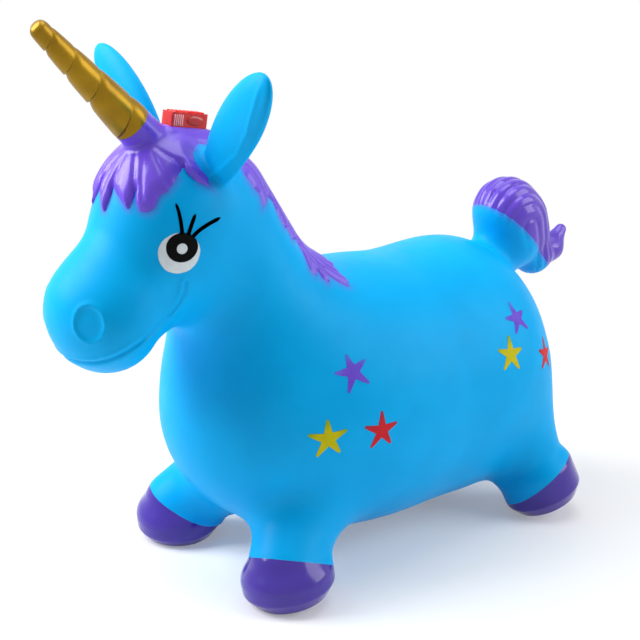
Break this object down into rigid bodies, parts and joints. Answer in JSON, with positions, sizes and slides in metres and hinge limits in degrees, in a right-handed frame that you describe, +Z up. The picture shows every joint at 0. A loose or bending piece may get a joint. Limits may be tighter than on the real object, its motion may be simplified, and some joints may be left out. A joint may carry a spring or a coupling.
{
  "type": "unicorn hopper",
  "caption": "Inflatable ride-on unicorn: a soft barrel body on splayed hooves, with ears to hold, a spiral horn, painted hair and an air valve under the tail. A child sits astride and bounces.",
  "frame": {"origin": "on the floor, under the middle of the hopper's length and width", "axes": "+Z up; the animal faces -Y and its left side is +X"},
  "size_m": [0.2572, 0.6078, 0.5006],
  "materials": {
    "vinyl_blue": "satin soft vinyl",
    "paint_purple": "glossy paint on soft vinyl",
    "paint_gold": "satin metallic paint on soft vinyl",
    "plastic_red": "glossy translucent plastic",
    "plastic_pale": "satin",
    "board": "satin",
    "plastic_dark": "satin",
    "plastic_white": "glossy",
    "steel": "bright"
  },
  "bodies": {
    "hopper": {"torso_skin": "vinyl_blue", "neck_skin": "vinyl_blue", "head_skin": "vinyl_blue", "front_leg_left": "vinyl_blue", "front_leg_right": "vinyl_blue", "front_hoof_left": "paint_purple", "front_hoof_right": "paint_purple", "rear_leg_left": "vinyl_blue", "rear_leg_right": "vinyl_blue", "rear_hoof_left": "paint_purple", "rear_hoof_right": "paint_purple", "forelock": "paint_purple", "mane": "paint_purple", "valve_seat": "vinyl_blue", "module_pocket": "paint_purple"},
    "ear_left": {"ear_left": "vinyl_blue"},
    "ear_right": {"ear_right": "vinyl_blue"},
    "horn": {"horn": "paint_gold"},
    "tail": {"tail_stump": "vinyl_blue", "tail_hair": "paint_purple"},
    "plug": {"valve_plug": "plastic_pale"},
    "sound_module": {"module_tray": "plastic_pale", "module_cover": "plastic_red", "module_screw_1": "steel", "module_screw_2": "steel", "circuit_board": "board", "speaker": "plastic_dark", "led_1": "plastic_white", "led_2": "plastic_white", "button_cell_1": "steel", "button_cell_2": "steel", "button_cell_3": "steel", "battery_contact_1": "steel", "battery_contact_2": "steel", "shake_spring": "steel", "shake_pin": "steel"}
  },
  "joints": [
    {"name": "ear_left_flex", "type": "hinge", "parent": "hopper", "child": "ear_left", "pos_m": [0.04274, -0.16793, 0.38404], "axis": [0.6944, 0, -0.7196], "range_deg": [-20, 20], "stiffness_Nm_per_rad": 1.5},
    {"name": "ear_right_flex", "type": "hinge", "parent": "hopper", "child": "ear_right", "pos_m": [-0.04274, -0.16793, 0.38404], "axis": [0.6944, 0, 0.7196], "range_deg": [-20, 20], "stiffness_Nm_per_rad": 1.5},
    {"name": "horn_flex", "type": "hinge", "parent": "hopper", "child": "horn", "pos_m": [0, -0.2117, 0.40831], "axis": [1, 0, 0], "range_deg": [-12, 12], "stiffness_Nm_per_rad": 2},
    {"name": "tail_flex", "type": "hinge", "parent": "hopper", "child": "tail", "pos_m": [0, 0.20661, 0.233], "axis": [1, 0, 0], "range_deg": [-15, 10], "stiffness_Nm_per_rad": 2.5},
    {"name": "plug_pull", "type": "slide", "parent": "hopper", "child": "plug", "axis": [0, 0.9767, -0.2148], "range_m": [0, 0.02]},
    {"name": "module_lift", "type": "slide", "parent": "hopper", "child": "sound_module", "axis": [0, 0.1568, 0.9876], "range_m": [0, 0.02]}
  ]
}
